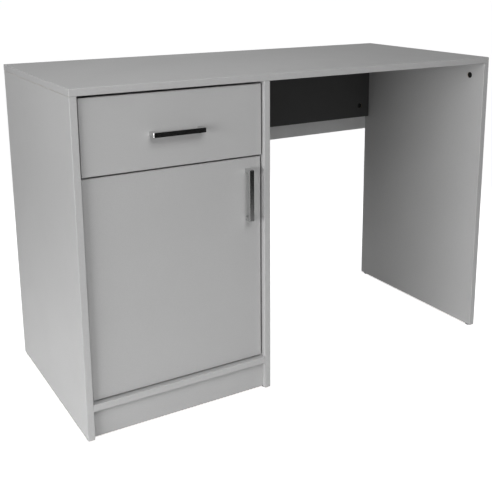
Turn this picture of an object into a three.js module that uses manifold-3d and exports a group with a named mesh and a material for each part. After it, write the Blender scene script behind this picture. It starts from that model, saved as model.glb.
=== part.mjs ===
// Writing desk: a drawer and door cabinet on the left, an open knee space and one side panel on the right.
// Flat-pack build from 15 mm melamine board, millimetres, +Z up.
// Cabinet coordinates: x from the left outer face, y from the boards' front edge towards the back,
// z from the floor. The outermost group moves them to the row frame, whose origin is the centre of the
// footprint, handles included.
import * as THREE from 'three';
import { mergeVertices } from 'three/addons/utils/BufferGeometryUtils.js';
import Module from 'manifold-3d';

const wasm = await Module();
wasm.setup();

// Driving dimensions, mm
const WIDTH = 1100;
const DEPTH = 490;
const HEIGHT = 740;
const BOARD = 15;
const BACK_SHEET = 3;
const GLIDE_HEIGHT = 3;
const CABINET_WIDTH = 442;
const BOTTOM_UNDERSIDE = 67;
const PLINTH_SETBACK = 12;
const DRAWER_SETBACK = 7;
const DOOR_SETBACK = 12;
const FRONT_SIDE_GAP = 3.5;
const DRAWER_FRONT_BOTTOM = 563.5;
const DRAWER_FRONT_TOP = 720;
const DOOR_BOTTOM = 85;
const DOOR_TOP = 559.5;
const SHELF_UNDERSIDE = 318;
const KNEE_RAIL_FRONT = 471;
const KNEE_RAIL_BOTTOM = 518;
const KNEE_SHEET_BOTTOM = 477;
const SHEET_INSET = 0.5;

// Drawer box
const DRAWER_SIDE = 12;
const DRAWER_BOX_BOTTOM = 585;
const DRAWER_BOX_TOP = 695;
const DRAWER_BOX_DEPTH = 400;
const DRAWER_BACK_DROP = 10;
const DRAWER_SHEET_BOTTOM = 595;
const GROOVE_DEPTH = 6;
const GROOVE_SLACK = 0.25;

// Roller runners: distances across are from the cabinet panel's inner face
const RUNNER_SPACE = 12.5;
const RUNNER_STEEL = 1.5;
const RUNNER_START = 28;
const RUNNER_LENGTH = 400;
const RUNNER_BOTTOM = 588;
const RUNNER_HEIGHT = 30;
const RUNNER_FLANGE = 9.5;
const RUNNER_END_GAP = 1;
const ROLLER_RADIUS = 8;
const ROLLER_WIDTH = 7.5;
const ROLLER_OFFSET = 2.5;
const ROLLER_LIFT = 0.25;
const AXLE_RADIUS = 2;
const AXLE_BORE = 2.08;
const FRONT_ROLLER_Y = 38;
const REAR_ROLLER_Y = 408;

// Bar handles
const HANDLE_LENGTH = 118;
const HANDLE_BAR = 10;
const HANDLE_BAR_DEPTH = 8;
const HANDLE_LEG = 10;
const HANDLE_REACH = 22;
const HANDLE_CORNER = 1.5;
const DRAWER_HANDLE_Z = 636.5;
const DOOR_HANDLE_X = 390;
const DOOR_HANDLE_Z = 476.5;
const HANDLE_SCREW_RADIUS = 2;
const HANDLE_SCREW_HEAD = 4;
const HANDLE_SCREW_HEAD_HEIGHT = 2.5;
const HANDLE_SCREW_BITE = 12;
const SCREW_CLEARANCE = 0.3;

// Cam locks, shelf pins, glides
const CAM_RADIUS = 7.5;
const CAM_BORE = 7.7;
const CAM_LENGTH = 12;
const CAM_BORE_DEPTH = 12.5;
const CAM_SINK = 0.25;
const CAM_INSET = 35;
const CAM_FRONT_Y = 50;
const CAM_REAR_Y = 437;
const CAM_SLOT = 1.5;
const CAM_SLOT_ARM = 4.5;
const CAM_SLOT_DEPTH = 3;
const PIN_RADIUS = 2.5;
const PIN_BORE = 2.75;
const PIN_LENGTH = 16;
const PIN_DEPTH = 8;
const PIN_BORE_DEPTH = 8.5;
const SHELF_FRONT = 45;
const SHELF_SIDE_GAP = 0.75;
const SHELF_REAR_GAP = 2;
const PIN_FRONT_Y = 90;
const PIN_REAR_Y = 430;
const GLIDE_RADIUS = 7;
const GLIDE_FRONT_Y = 14;
const GLIDE_REAR_Y = 470;

// Door pivots and magnet catch
const PIVOT_INSET = 8;
const PIVOT_RADIUS = 2.5;
const PIVOT_BORE = 2.58;
const PIVOT_LENGTH = 10;
const PIVOT_BORE_DEPTH = 11;
const PIVOT_STEEL = 1.5;
const PIVOT_REST = 1.25;
const PIVOT_COLLAR = 4.5;
const PIVOT_PLATE_WIDTH = 19;
const PIVOT_PLATE_FRONT = 14.5;
const PIVOT_PLATE_REAR = 60;
const PIVOT_LEG_FRONT = 34;
const PIVOT_LEG_HEIGHT = 26;
const TOP_PIVOT_GAP = 0.75;
const STRIKE_X = 415;
const STRIKE_Z = 527;
const STRIKE_RADIUS = 6;
const STRIKE_THICK = 1.25;
const CATCH_FRONT = 29;
const CATCH_DEPTH = 34;
const CATCH_WIDTH = 20;
const CATCH_HEIGHT = 14;

// Places worked out from the driving dimensions
const TOP_UNDERSIDE = HEIGHT - BOARD;
const PANEL_DEPTH = DEPTH - BACK_SHEET;
const DIVIDER_X = CABINET_WIDTH - BOARD;
const RIGHT_X = WIDTH - BOARD;
const BOTTOM_TOP = BOTTOM_UNDERSIDE + BOARD;
const CABINET_CENTRE = CABINET_WIDTH / 2;
const FRONT_LEFT = BOARD + FRONT_SIDE_GAP;
const FRONT_RIGHT = DIVIDER_X - FRONT_SIDE_GAP;
const DRAWER_BACK_OF_FRONT = DRAWER_SETBACK + BOARD;
const DOOR_BACK = DOOR_SETBACK + BOARD;
const DRAWER_BOX_END = DRAWER_BACK_OF_FRONT + DRAWER_BOX_DEPTH;
const DRAWER_LEFT = BOARD + RUNNER_SPACE;
const DRAWER_RIGHT = DIVIDER_X - RUNNER_SPACE;
const ROLLER_Z = RUNNER_BOTTOM + RUNNER_STEEL + ROLLER_LIFT + ROLLER_RADIUS;
const HANDLE_HOLE = (HANDLE_LENGTH - HANDLE_LEG) / 2;
const PIVOT_X = FRONT_LEFT + PIVOT_INSET;
const PIVOT_Y = DOOR_SETBACK + BOARD / 2;
const CAM_TOP_Z = TOP_UNDERSIDE - CAM_INSET;
const FRONT_REACH = HANDLE_REACH - DRAWER_SETBACK;

// Finishes
const melamine = { color: 0xc4c4c4, roughness: 0.45, metalness: 0 };
const railBoard = { color: 0x4a4a4a, roughness: 0.55, metalness: 0 };
const hardboard = { color: 0xbdbdbd, roughness: 0.6, metalness: 0 };
const drawerBoard = { color: 0xcfcfcf, roughness: 0.5, metalness: 0 };
const nickel = { color: 0xa4a4a5, roughness: 0.25, metalness: 1 };
const blackCasting = { color: 0x1f1f20, roughness: 0.55, metalness: 0.6 };
const zinc = { color: 0x9a9ca0, roughness: 0.4, metalness: 0.9 };
const coatedSteel = { color: 0xd8d8d6, roughness: 0.4, metalness: 0.2 };
const blackPlastic = { color: 0x1c1c1e, roughness: 0.6, metalness: 0 };
const whitePlastic = { color: 0xe2e2de, roughness: 0.5, metalness: 0 };

// Fineness of round pieces, how far cutters run past a face, and how near corners are joined
const SEGMENTS = 24;
const FINE_SEGMENTS = 32;
const OVERCUT = 1;
const WELD = 1e-4;

// Solids
function box(x0, x1, y0, y1, z0, z1) {
  const geometry = new THREE.BoxGeometry(x1 - x0, y1 - y0, z1 - z0);
  return geometry.translate((x0 + x1) / 2, (y0 + y1) / 2, (z0 + z1) / 2);
}

// A cylinder along 'x', 'y' or 'z', from start to end on that axis
function rod(axis, radius, start, end, a, b, segments = SEGMENTS) {
  const geometry = new THREE.CylinderGeometry(radius, radius, end - start, segments);
  const middle = (start + end) / 2;
  if (axis === 'x') return geometry.rotateZ(Math.PI / 2).translate(middle, a, b);
  if (axis === 'y') return geometry.translate(a, middle, b);
  return geometry.rotateX(Math.PI / 2).translate(a, b, middle);
}

// A profile of [x, z] points drawn out along y
function profileAlongY(points, y0, y1) {
  const shape = new THREE.Shape(points.map(([x, z]) => new THREE.Vector2(x, z)));
  const geometry = new THREE.ExtrudeGeometry(shape, { depth: y1 - y0, bevelEnabled: false });
  return geometry.rotateX(Math.PI / 2).translate(0, y1, 0);
}

function toSolid(geometry) {
  const bare = geometry.clone();
  bare.deleteAttribute('normal');
  bare.deleteAttribute('uv');
  const merged = mergeVertices(bare, WELD);
  const vertProperties = new Float32Array(merged.attributes.position.array);
  const triVerts = new Uint32Array(merged.index.array);
  return new wasm.Manifold(new wasm.Mesh({ numProp: 3, vertProperties, triVerts }));
}

function toGeometry(solid) {
  const made = solid.getMesh();
  const geometry = new THREE.BufferGeometry();
  geometry.setAttribute('position', new THREE.BufferAttribute(made.vertProperties.slice(), 3));
  geometry.setIndex(new THREE.BufferAttribute(made.triVerts.slice(), 1));
  return geometry;
}

function cut(geometry, cutters) {
  return toGeometry(cutters.reduce((solid, tool) => solid.subtract(toSolid(tool)), toSolid(geometry)));
}

function join(...pieces) {
  return toGeometry(pieces.map(toSolid).reduce((solid, next) => solid.add(next)));
}

// Groups and named meshes: each mesh sits at the middle of its own shape
const desk = new THREE.Group();
const cabinetFrame = new THREE.Group();
cabinetFrame.position.set(-WIDTH / 2, -(DEPTH - FRONT_REACH) / 2, 0);
desk.add(cabinetFrame);
const carcass = new THREE.Group();
const drawer = new THREE.Group();
const door = new THREE.Group();
cabinetFrame.add(carcass, drawer, door);

function place(group, name, finish, geometry) {
  geometry.computeBoundingBox();
  const middle = geometry.boundingBox.getCenter(new THREE.Vector3());
  middle.set(...middle.toArray().map((value) => Math.round(value * 4) / 4));
  geometry.translate(-middle.x, -middle.y, -middle.z);
  geometry.computeVertexNormals();
  const mesh = new THREE.Mesh(geometry, new THREE.MeshStandardMaterial(finish));
  mesh.name = name;
  mesh.position.copy(middle);
  group.add(mesh);
}

// Cam locks: a bore in the board and a slotted housing sunk in it, opening along +-x, +-y or -z
const camPlaces = {
  left_side_panel: [],
  divider_panel: [],
  right_side_panel: [],
  knee_rail: [],
  bottom_panel: [],
};
const uprightFaces = [
  ['left', 'left_side_panel', BOARD, 1],
  ['divider', 'divider_panel', DIVIDER_X, -1],
  ['right', 'right_side_panel', RIGHT_X, -1],
];
for (const [end, y] of [['front', CAM_FRONT_Y], ['rear', CAM_REAR_Y]]) {
  for (const [side, board, face, out] of uprightFaces) {
    const name = `cam_lock_${side}_${end}`;
    camPlaces[board].push({ name, axis: 'x', face, out, a: y, b: CAM_TOP_Z });
  }
  for (const [side, x] of [['left', BOARD + CAM_INSET], ['right', DIVIDER_X - CAM_INSET]]) {
    const name = `cam_lock_bottom_${end}_${side}`;
    camPlaces.bottom_panel.push({ name, axis: 'z', face: BOTTOM_UNDERSIDE, out: -1, a: x, b: y });
  }
}
for (const [side, x] of [['left', CABINET_WIDTH + CAM_INSET], ['right', RIGHT_X - CAM_INSET]]) {
  for (const [level, z] of [['lower', KNEE_RAIL_BOTTOM + CAM_INSET], ['upper', CAM_TOP_Z]]) {
    const name = `cam_lock_rail_${side}_${level}`;
    camPlaces.knee_rail.push({ name, axis: 'y', face: KNEE_RAIL_FRONT, out: -1, a: x, b: z });
  }
}

function alongOut(cam, radius, near, far) {
  const ends = [cam.face + cam.out * near, cam.face + cam.out * far].sort((p, q) => p - q);
  return rod(cam.axis, radius, ends[0], ends[1], cam.a, cam.b);
}

function camBores(board) {
  return camPlaces[board].map((cam) => alongOut(cam, CAM_BORE, -CAM_BORE_DEPTH, OVERCUT));
}

function camLock(cam) {
  const body = alongOut(cam, CAM_RADIUS, -CAM_SINK - CAM_LENGTH, -CAM_SINK);
  const ends = [cam.face - cam.out * CAM_SLOT_DEPTH, cam.face + cam.out * OVERCUT].sort((p, q) => p - q);
  const across = [[CAM_SLOT_ARM, CAM_SLOT / 2], [CAM_SLOT / 2, CAM_SLOT_ARM]];
  const slots = across.map(([p, q]) => {
    if (cam.axis === 'x') return box(ends[0], ends[1], cam.a - p, cam.a + p, cam.b - q, cam.b + q);
    if (cam.axis === 'y') return box(cam.a - p, cam.a + p, ends[0], ends[1], cam.b - q, cam.b + q);
    return box(cam.a - p, cam.a + p, cam.b - q, cam.b + q, ends[0], ends[1]);
  });
  return cut(body, slots);
}

// Shelf pins: bores in the cabinet's two panels and a plain pin in each
const pinPlaces = [];
for (const [end, y] of [['front', PIN_FRONT_Y], ['rear', PIN_REAR_Y]]) {
  pinPlaces.push({ name: `shelf_pin_${end}_left`, board: 'left_side_panel', face: BOARD, out: 1, y });
  pinPlaces.push({ name: `shelf_pin_${end}_right`, board: 'divider_panel', face: DIVIDER_X, out: -1, y });
}
const PIN_Z = SHELF_UNDERSIDE - PIN_RADIUS - GROOVE_SLACK;

function pinRod(pin, radius, near, far) {
  const ends = [pin.face + pin.out * near, pin.face + pin.out * far].sort((p, q) => p - q);
  return rod('x', radius, ends[0], ends[1], pin.y, PIN_Z);
}

function pinBores(board) {
  const pins = pinPlaces.filter((pin) => pin.board === board);
  return pins.map((pin) => pinRod(pin, PIN_BORE, -PIN_BORE_DEPTH, OVERCUT));
}

// Carcass boards
function uprightPanel(name, x) {
  const panel = box(x, x + BOARD, 0, PANEL_DEPTH, GLIDE_HEIGHT, TOP_UNDERSIDE);
  place(carcass, name, melamine, cut(panel, [...camBores(name), ...pinBores(name)]));
}
place(carcass, 'top_panel', melamine, box(0, WIDTH, 0, DEPTH, TOP_UNDERSIDE, HEIGHT));
uprightPanel('left_side_panel', 0);
uprightPanel('divider_panel', DIVIDER_X);
uprightPanel('right_side_panel', RIGHT_X);

const bottomBoard = box(BOARD, DIVIDER_X, 0, PANEL_DEPTH, BOTTOM_UNDERSIDE, BOTTOM_TOP);
place(carcass, 'bottom_panel', melamine, cut(bottomBoard, camBores('bottom_panel')));
const plinthBack = PLINTH_SETBACK + BOARD;
place(carcass, 'plinth_board', melamine,
  box(BOARD, DIVIDER_X, PLINTH_SETBACK, plinthBack, GLIDE_HEIGHT, BOTTOM_UNDERSIDE));

const railBack = KNEE_RAIL_FRONT + BOARD;
const railShape = box(CABINET_WIDTH, RIGHT_X, KNEE_RAIL_FRONT, railBack, KNEE_RAIL_BOTTOM, TOP_UNDERSIDE);
place(carcass, 'knee_rail', railBoard, cut(railShape, camBores('knee_rail')));

// Thin back sheets nailed to the panels' rear edges, under the overhanging top
const sheetSeam = CABINET_WIDTH - BOARD / 2;
place(carcass, 'cabinet_back_sheet', hardboard,
  box(SHEET_INSET, sheetSeam - SHEET_INSET, PANEL_DEPTH, DEPTH, BOTTOM_UNDERSIDE, TOP_UNDERSIDE));
place(carcass, 'knee_back_sheet', hardboard,
  box(sheetSeam + SHEET_INSET, WIDTH - SHEET_INSET, PANEL_DEPTH, DEPTH, KNEE_SHEET_BOTTOM, TOP_UNDERSIDE));

// Shelf on its pins
const shelfLeft = BOARD + SHELF_SIDE_GAP;
const shelfRight = DIVIDER_X - SHELF_SIDE_GAP;
place(carcass, 'shelf', melamine,
  box(shelfLeft, shelfRight, SHELF_FRONT, PANEL_DEPTH - SHELF_REAR_GAP,
    SHELF_UNDERSIDE, SHELF_UNDERSIDE + BOARD));
for (const pin of pinPlaces) {
  place(carcass, pin.name, zinc, pinRod(pin, PIN_RADIUS, -PIN_DEPTH, PIN_LENGTH - PIN_DEPTH));
}

for (const cam of Object.values(camPlaces).flat()) {
  place(carcass, cam.name, blackCasting, camLock(cam));
}

// Nail-on glides under the three upright panels
const uprights = [['left', BOARD / 2], ['divider', DIVIDER_X + BOARD / 2], ['right', RIGHT_X + BOARD / 2]];
for (const [panel, x] of uprights) {
  for (const [end, y] of [['front', GLIDE_FRONT_Y], ['rear', GLIDE_REAR_Y]]) {
    place(carcass, `glide_${panel}_${end}`, blackPlastic, rod('z', GLIDE_RADIUS, 0, GLIDE_HEIGHT, x, y));
  }
}

// Pivot brackets: an angle plate on the left panel, with the pin that the door turns on
function pivotBracket(plateBottom, pinUp) {
  const plateTop = plateBottom + PIVOT_STEEL;
  const right = BOARD + PIVOT_PLATE_WIDTH;
  const plate = box(BOARD, right, PIVOT_PLATE_FRONT, PIVOT_PLATE_REAR, plateBottom, plateTop);
  const legEnds = pinUp
    ? [plateBottom, plateTop + PIVOT_LEG_HEIGHT]
    : [plateBottom - PIVOT_LEG_HEIGHT, plateTop];
  const leg = box(BOARD, BOARD + PIVOT_STEEL, PIVOT_LEG_FRONT, PIVOT_PLATE_REAR, ...legEnds);
  const pieces = [plate, leg];
  if (pinUp) {
    const collarTop = plateTop + PIVOT_REST;
    pieces.push(rod('z', PIVOT_COLLAR, plateBottom, collarTop, PIVOT_X, PIVOT_Y));
    const pinTop = DOOR_BOTTOM + PIVOT_LENGTH;
    pieces.push(rod('z', PIVOT_RADIUS, plateBottom, pinTop, PIVOT_X, PIVOT_Y, FINE_SEGMENTS));
  } else {
    const pinBottom = DOOR_TOP - PIVOT_LENGTH;
    pieces.push(rod('z', PIVOT_RADIUS, pinBottom, plateTop, PIVOT_X, PIVOT_Y, FINE_SEGMENTS));
  }
  return join(...pieces);
}
place(carcass, 'pivot_bracket_bottom', zinc, pivotBracket(BOTTOM_TOP, true));
place(carcass, 'pivot_bracket_top', zinc, pivotBracket(DOOR_TOP + TOP_PIVOT_GAP, false));

// Magnet catch on the divider, facing the strike plate on the door
place(carcass, 'magnet_catch', blackPlastic,
  box(DIVIDER_X - CATCH_WIDTH, DIVIDER_X, CATCH_FRONT, CATCH_FRONT + CATCH_DEPTH,
    STRIKE_Z - CATCH_HEIGHT / 2, STRIKE_Z + CATCH_HEIGHT / 2));

// Roller runners. across(d) is d millimetres in from the cabinet panel's inner face.
const runnerTop = RUNNER_BOTTOM + RUNNER_HEIGHT;
const runFlangeBottom = ROLLER_Z + ROLLER_RADIUS + ROLLER_LIFT;
const runnerSides = [['left', (d) => BOARD + d], ['right', (d) => DIVIDER_X - d]];

function axleRod(across, from, to, y) {
  const ends = [across(from), across(to)].sort((p, q) => p - q);
  return rod('x', AXLE_RADIUS, ends[0], ends[1], y, ROLLER_Z);
}

function roller(across, y) {
  const ends = [across(ROLLER_OFFSET), across(ROLLER_OFFSET + ROLLER_WIDTH)].sort((p, q) => p - q);
  const wheel = rod('x', ROLLER_RADIUS, ends[0], ends[1], y, ROLLER_Z, FINE_SEGMENTS);
  return cut(wheel, [rod('x', AXLE_BORE, ends[0] - OVERCUT, ends[1] + OVERCUT, y, ROLLER_Z)]);
}

for (const [side, across] of runnerSides) {
  const channel = [
    [0, RUNNER_BOTTOM], [RUNNER_FLANGE, RUNNER_BOTTOM], [RUNNER_FLANGE, RUNNER_BOTTOM + RUNNER_STEEL],
    [RUNNER_STEEL, RUNNER_BOTTOM + RUNNER_STEEL], [RUNNER_STEEL, runnerTop - RUNNER_STEEL],
    [RUNNER_FLANGE, runnerTop - RUNNER_STEEL], [RUNNER_FLANGE, runnerTop], [0, runnerTop],
  ].map(([d, z]) => [across(d), z]);
  const channelShape = profileAlongY(channel, RUNNER_START, RUNNER_START + RUNNER_LENGTH);
  const frontAxle = axleRod(across, RUNNER_STEEL / 2, ROLLER_OFFSET + ROLLER_WIDTH, FRONT_ROLLER_Y);
  place(carcass, `cabinet_runner_${side}`, coatedSteel, join(channelShape, frontAxle));
  place(carcass, `roller_front_${side}`, whitePlastic, roller(across, FRONT_ROLLER_Y));

  const underSide = DRAWER_BOX_BOTTOM - RUNNER_STEEL;
  const legOut = RUNNER_SPACE - RUNNER_STEEL;
  const ledgeEnd = RUNNER_SPACE + DRAWER_SIDE;
  const runFlangeTop = runFlangeBottom + RUNNER_STEEL;
  const angle = [
    [legOut, underSide], [ledgeEnd, underSide], [ledgeEnd, DRAWER_BOX_BOTTOM],
    [RUNNER_SPACE, DRAWER_BOX_BOTTOM], [RUNNER_SPACE, runFlangeTop],
    [ROLLER_OFFSET, runFlangeTop], [ROLLER_OFFSET, runFlangeBottom], [legOut, runFlangeBottom],
  ].map(([d, z]) => [across(d), z]);
  const angleEnds = [DRAWER_BACK_OF_FRONT + RUNNER_END_GAP, DRAWER_BOX_END - RUNNER_END_GAP];
  const angleShape = profileAlongY(angle, ...angleEnds);
  const rearAxle = axleRod(across, ROLLER_OFFSET, legOut + RUNNER_STEEL / 2, REAR_ROLLER_Y);
  place(drawer, `drawer_runner_${side}`, coatedSteel, join(angleShape, rearAxle));
  place(drawer, `roller_rear_${side}`, whitePlastic, roller(across, REAR_ROLLER_Y));
}

// Bar handle: a bar between two legs, drawn in its own length and reach, then turned into the front's frame
function handleGeometry(upright) {
  const half = HANDLE_LENGTH / 2;
  const inner = half - HANDLE_LEG;
  const bar = HANDLE_REACH - HANDLE_BAR_DEPTH;
  const corner = HANDLE_CORNER;
  const outline = [
    [-half, 0], [-inner, 0], [-inner, bar], [inner, bar], [inner, 0], [half, 0],
    [half, HANDLE_REACH - corner], [half - corner, HANDLE_REACH],
    [corner - half, HANDLE_REACH], [-half, HANDLE_REACH - corner],
  ];
  const shape = new THREE.Shape(outline.map(([u, v]) => new THREE.Vector2(u, -v)));
  const geometry = new THREE.ExtrudeGeometry(shape, { depth: HANDLE_BAR, bevelEnabled: false });
  geometry.translate(0, 0, -HANDLE_BAR / 2);
  return upright ? geometry.rotateY(Math.PI / 2) : geometry;
}

function screwHole(x, z, start, end) {
  return rod('y', HANDLE_SCREW_RADIUS + SCREW_CLEARANCE, start, end, x, z);
}

function handleScrew(x, z, face) {
  const inside = face + BOARD;
  const head = rod('y', HANDLE_SCREW_HEAD, inside, inside + HANDLE_SCREW_HEAD_HEIGHT, x, z);
  const shaft = rod('y', HANDLE_SCREW_RADIUS, face - HANDLE_SCREW_BITE, inside + OVERCUT, x, z);
  return join(head, shaft);
}

function handleSet(group, front, upright, x, z, face) {
  const offsets = [-HANDLE_HOLE, HANDLE_HOLE];
  const holes = offsets.map((offset) => (upright ? [x, z + offset] : [x + offset, z]));
  const bite = face - HANDLE_SCREW_BITE - OVERCUT;
  const bores = holes.map(([hx, hz]) => screwHole(hx, hz, bite, face + OVERCUT));
  const bar = handleGeometry(upright).translate(x, face, z);
  place(group, `${front}_handle`, nickel, cut(bar, bores));
  const ends = upright ? ['bottom', 'top'] : ['left', 'right'];
  holes.forEach(([hx, hz], index) => {
    place(group, `${front}_handle_screw_${ends[index]}`, zinc, handleScrew(hx, hz, face));
  });
  return holes.map(([hx, hz]) => screwHole(hx, hz, face - OVERCUT, face + BOARD + OVERCUT));
}

// Drawer
const sheetSlot = [DRAWER_SHEET_BOTTOM - GROOVE_SLACK, DRAWER_SHEET_BOTTOM + BACK_SHEET + GROOVE_SLACK];
const innerLeft = DRAWER_LEFT + DRAWER_SIDE;
const innerRight = DRAWER_RIGHT - DRAWER_SIDE;
const drawerBackFront = DRAWER_BOX_END - DRAWER_SIDE;
const drawerHoles = handleSet(drawer, 'drawer', false, CABINET_CENTRE, DRAWER_HANDLE_Z, DRAWER_SETBACK);
const frontBoard = box(FRONT_LEFT, FRONT_RIGHT, DRAWER_SETBACK, DRAWER_BACK_OF_FRONT,
  DRAWER_FRONT_BOTTOM, DRAWER_FRONT_TOP);
const grooveStart = DRAWER_BACK_OF_FRONT - GROOVE_DEPTH;
const frontGroove = box(innerLeft - GROOVE_DEPTH, innerRight + GROOVE_DEPTH,
  grooveStart, DRAWER_BACK_OF_FRONT + OVERCUT, ...sheetSlot);
place(drawer, 'drawer_front', melamine, cut(frontBoard, [...drawerHoles, frontGroove]));
for (const [side, x, groove] of [
  ['left', DRAWER_LEFT, innerLeft - GROOVE_DEPTH],
  ['right', innerRight, innerRight - OVERCUT],
]) {
  const board = box(x, x + DRAWER_SIDE, DRAWER_BACK_OF_FRONT, DRAWER_BOX_END,
    DRAWER_BOX_BOTTOM, DRAWER_BOX_TOP);
  const slot = box(groove, groove + GROOVE_DEPTH + OVERCUT,
    DRAWER_BACK_OF_FRONT - OVERCUT, DRAWER_BOX_END + OVERCUT, ...sheetSlot);
  place(drawer, `drawer_side_${side}`, drawerBoard, cut(board, [slot]));
}
const drawerBackBoard = box(innerLeft, innerRight, drawerBackFront, DRAWER_BOX_END,
  DRAWER_BOX_BOTTOM, DRAWER_BOX_TOP - DRAWER_BACK_DROP);
const backSlot = box(innerLeft - OVERCUT, innerRight + OVERCUT,
  drawerBackFront - OVERCUT, drawerBackFront + GROOVE_DEPTH, ...sheetSlot);
place(drawer, 'drawer_back', drawerBoard, cut(drawerBackBoard, [backSlot]));
place(drawer, 'drawer_bottom', hardboard,
  box(innerLeft - GROOVE_DEPTH + GROOVE_SLACK, innerRight + GROOVE_DEPTH - GROOVE_SLACK,
    grooveStart + GROOVE_SLACK, drawerBackFront + GROOVE_DEPTH - GROOVE_SLACK,
    DRAWER_SHEET_BOTTOM, DRAWER_SHEET_BOTTOM + BACK_SHEET));

// Door
const doorHoles = handleSet(door, 'door', true, DOOR_HANDLE_X, DOOR_HANDLE_Z, DOOR_SETBACK);
const doorBoard = box(FRONT_LEFT, FRONT_RIGHT, DOOR_SETBACK, DOOR_BACK, DOOR_BOTTOM, DOOR_TOP);
const pivotBores = [
  [DOOR_BOTTOM - OVERCUT, DOOR_BOTTOM + PIVOT_BORE_DEPTH],
  [DOOR_TOP - PIVOT_BORE_DEPTH, DOOR_TOP + OVERCUT],
].map((ends) => rod('z', PIVOT_BORE, ...ends, PIVOT_X, PIVOT_Y, FINE_SEGMENTS));
place(door, 'door_panel', melamine, cut(doorBoard, [...doorHoles, ...pivotBores]));
place(door, 'strike_plate', zinc,
  rod('y', STRIKE_RADIUS, DOOR_BACK, DOOR_BACK + STRIKE_THICK, STRIKE_X, STRIKE_Z));

export default desk;
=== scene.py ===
"""Writing desk: bevelled melamine boards with glued edge bands, bar handles, a drawer box on roller
runners, a door on pivot pins, and the small hardware that holds them, built round the CAD frame."""

import math

import bmesh
import bpy
from mathutils import Euler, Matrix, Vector


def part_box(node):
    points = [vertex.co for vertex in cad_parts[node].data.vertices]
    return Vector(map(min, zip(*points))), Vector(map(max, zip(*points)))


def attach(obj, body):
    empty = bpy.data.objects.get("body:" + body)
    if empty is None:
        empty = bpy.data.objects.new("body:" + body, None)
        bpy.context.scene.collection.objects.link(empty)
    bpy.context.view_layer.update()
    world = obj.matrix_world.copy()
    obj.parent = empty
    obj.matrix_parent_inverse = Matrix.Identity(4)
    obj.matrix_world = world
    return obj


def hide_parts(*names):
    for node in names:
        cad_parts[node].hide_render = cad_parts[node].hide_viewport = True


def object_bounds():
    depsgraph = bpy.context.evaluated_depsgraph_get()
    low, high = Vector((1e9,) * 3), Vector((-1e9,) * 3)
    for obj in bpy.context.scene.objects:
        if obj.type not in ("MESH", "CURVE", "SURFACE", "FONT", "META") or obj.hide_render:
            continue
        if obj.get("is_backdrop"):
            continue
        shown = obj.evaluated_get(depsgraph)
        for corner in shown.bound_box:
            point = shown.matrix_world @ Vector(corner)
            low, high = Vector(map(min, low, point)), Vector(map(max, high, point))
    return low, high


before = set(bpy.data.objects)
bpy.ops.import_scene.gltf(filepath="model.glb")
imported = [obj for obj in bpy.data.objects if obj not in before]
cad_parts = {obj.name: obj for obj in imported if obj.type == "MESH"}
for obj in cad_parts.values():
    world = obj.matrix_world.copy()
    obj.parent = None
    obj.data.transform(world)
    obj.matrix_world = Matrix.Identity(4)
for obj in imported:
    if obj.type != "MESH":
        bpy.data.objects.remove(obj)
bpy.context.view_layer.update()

MM = 0.001
AXES = {"x": 0, "y": 1, "z": 2}
SEED = 7

# Boards, metres
BAND = 0.9 * MM
ARRIS = 0.9 * MM
ARRIS_STEPS = 3
CORNER = 1.1 * MM
CORNER_STEPS = 3
GLUE_LINE = 0.28 * MM
GLUE_DEPTH = 0.14 * MM
SKIN = 0.35 * MM
BORE_SLACK = 0.2 * MM
OVERSHOOT = 1.0 * MM

# Bar handles
HANDLE_ARRIS = 0.7 * MM
HANDLE_OUTER_BEND = 2.6 * MM
HANDLE_INNER_BEND = 2.2 * MM
HANDLE_BAR = 8 * MM
HANDLE_LEG = 10 * MM
TAP_RADIUS = 2.3 * MM
TAP_DEPTH = 13 * MM
MACHINE_HEAD = 4 * MM
MACHINE_HEAD_HEIGHT = 2.5 * MM
MACHINE_SHAFT = 2 * MM

# Small hardware
NAIL_HEAD = 2.6 * MM
NAIL_HEIGHT = 0.45 * MM
NAIL_PITCH = 80 * MM
SHEET_THICK = 2.4 * MM
SCREW_HEAD = 3.4 * MM
SCREW_HEIGHT = 1.9 * MM
SCREW_SHAFT = 1.7 * MM
SCREW_LENGTH = 8 * MM
HOLE_PITCH = 32 * MM
HOLE_RADIUS = 2.5 * MM
HOLE_DEPTH = 8 * MM

# Drawer box, runners and door pivots
GROOVE = 6 * MM
GROOVE_SLACK = 0.25 * MM
FOIL_ARRIS = 1.2 * MM
STEEL = 1.5 * MM
STEEL_ARRIS = 0.2 * MM
RUNNER_FLANGE = 9.5 * MM
WEB = 11 * MM
LEDGE = 13.5 * MM
ROLLER_NEAR = 2.5 * MM
ROLLER_FAR = 10.05 * MM
AXLE_RADIUS = 2 * MM
RIVET_RADIUS = 3 * MM
RIVET_THICK = 0.6 * MM
PIVOT_INSET = 8 * MM
PIVOT_RADIUS = 2.5 * MM
PIVOT_BITE = 11 * MM
PIVOT_LEG_START = 19.5 * MM
PIVOT_TIP_DEPTH = 10 * MM
PIVOT_TIP_SOFT = 0.6 * MM
PIVOT_SEAT = 0.4 * MM
PIVOT_BORE_SLACK = 0.1 * MM
COLLAR_RADIUS = 4.5 * MM
COLLAR_HEIGHT = 2.75 * MM
COLLAR_SOFT = 0.2 * MM

# Nylon rollers
ROLLER_BORE_SLACK = 0.08 * MM
HUB_RADIUS = 3.6 * MM
HUB_FOOT = 3.9 * MM
DISH_DEPTH = 0.6 * MM
DISH_RADIUS = 6.5 * MM
RIM_RADIUS = 6.9 * MM
RIM_SET_BACK = 0.1 * MM
TREAD_SOFT = 0.5 * MM
AXLE_SEAT = 0.75 * MM
RIVET_CLEARANCE = 0.05 * MM

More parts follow.
